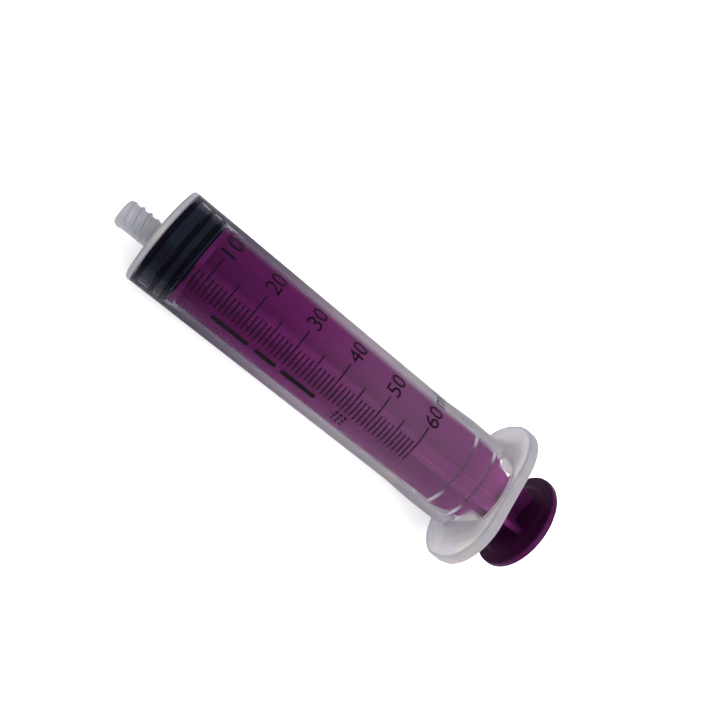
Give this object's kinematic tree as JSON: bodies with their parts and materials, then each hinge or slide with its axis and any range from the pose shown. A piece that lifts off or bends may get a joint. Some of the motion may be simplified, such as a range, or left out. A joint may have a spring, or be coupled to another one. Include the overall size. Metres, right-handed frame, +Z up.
{
  "type": "oral syringe",
  "caption": "Large oral and tube-feeding syringe: clear graduated barrel with a threaded tip and finger flange, black rubber stopper, purple cross-section plunger rod.",
  "frame": {"origin": "middle of the syringe's bounding box, on the surface that the flange's long flat side stands on", "axes": "+X along the barrel from the threaded tip towards the thumb press, +Y along the flange's long direction towards the ear away from the offset tip, +Z up from the flat side of the flange that it stands on"},
  "size_m": [0.1572, 0.051, 0.0362],
  "materials": {
    "clear_plastic": "clear, slightly milky polypropylene with a smooth moulded surface",
    "black_rubber": "satin black moulded rubber, lightly oiled with silicone",
    "purple_plastic": "deep purple moulded polypropylene, half gloss",
    "scale_ink": "thin printed black ink"
  },
  "bodies": {
    "barrel": {"barrel": "clear_plastic"},
    "stopper": {"stopper": "black_rubber"},
    "plunger": {"plunger_rod": "purple_plastic"}
  },
  "joints": [
    {"name": "plunger_slide", "type": "slide", "parent": "barrel", "child": "stopper", "axis": [1, 0, 0], "range_m": [0, 0.097]},
    {"name": "rod_spin", "type": "hinge", "parent": "stopper", "child": "plunger", "pos_m": [0, 0, 0.0181], "axis": [1, 0, 0], "continuous": true}
  ]
}
